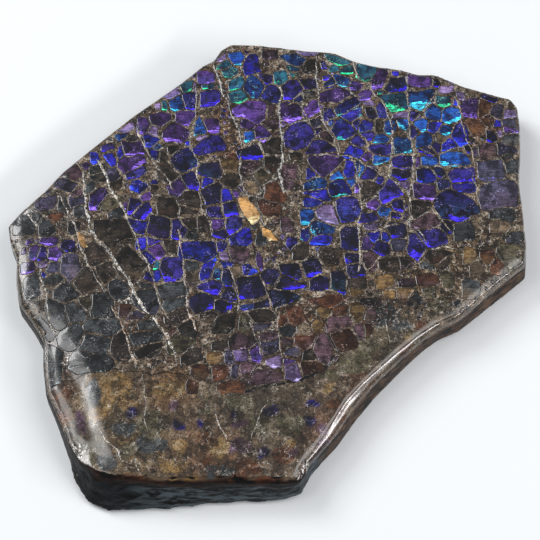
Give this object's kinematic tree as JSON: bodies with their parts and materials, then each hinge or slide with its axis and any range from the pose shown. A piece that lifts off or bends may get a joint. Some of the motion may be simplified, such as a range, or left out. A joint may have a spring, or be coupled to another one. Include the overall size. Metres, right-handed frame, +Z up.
{
  "type": "ammolite specimen",
  "caption": "Polished slab of ammolite: iridescent blue and violet cracked fossil shell on dark brown rock.",
  "frame": {"origin": "centre of the outline, in the plane of the flat underside", "axes": "+Z up out of the polished shell side, -Y towards the broken front face, +X to the right"},
  "size_m": [0.1298, 0.1238, 0.0105],
  "materials": {
    "ammolite_stone": "polished"
  },
  "bodies": {
    "root": {"ammolite_slab": "ammolite_stone"}
  },
  "joints": []
}
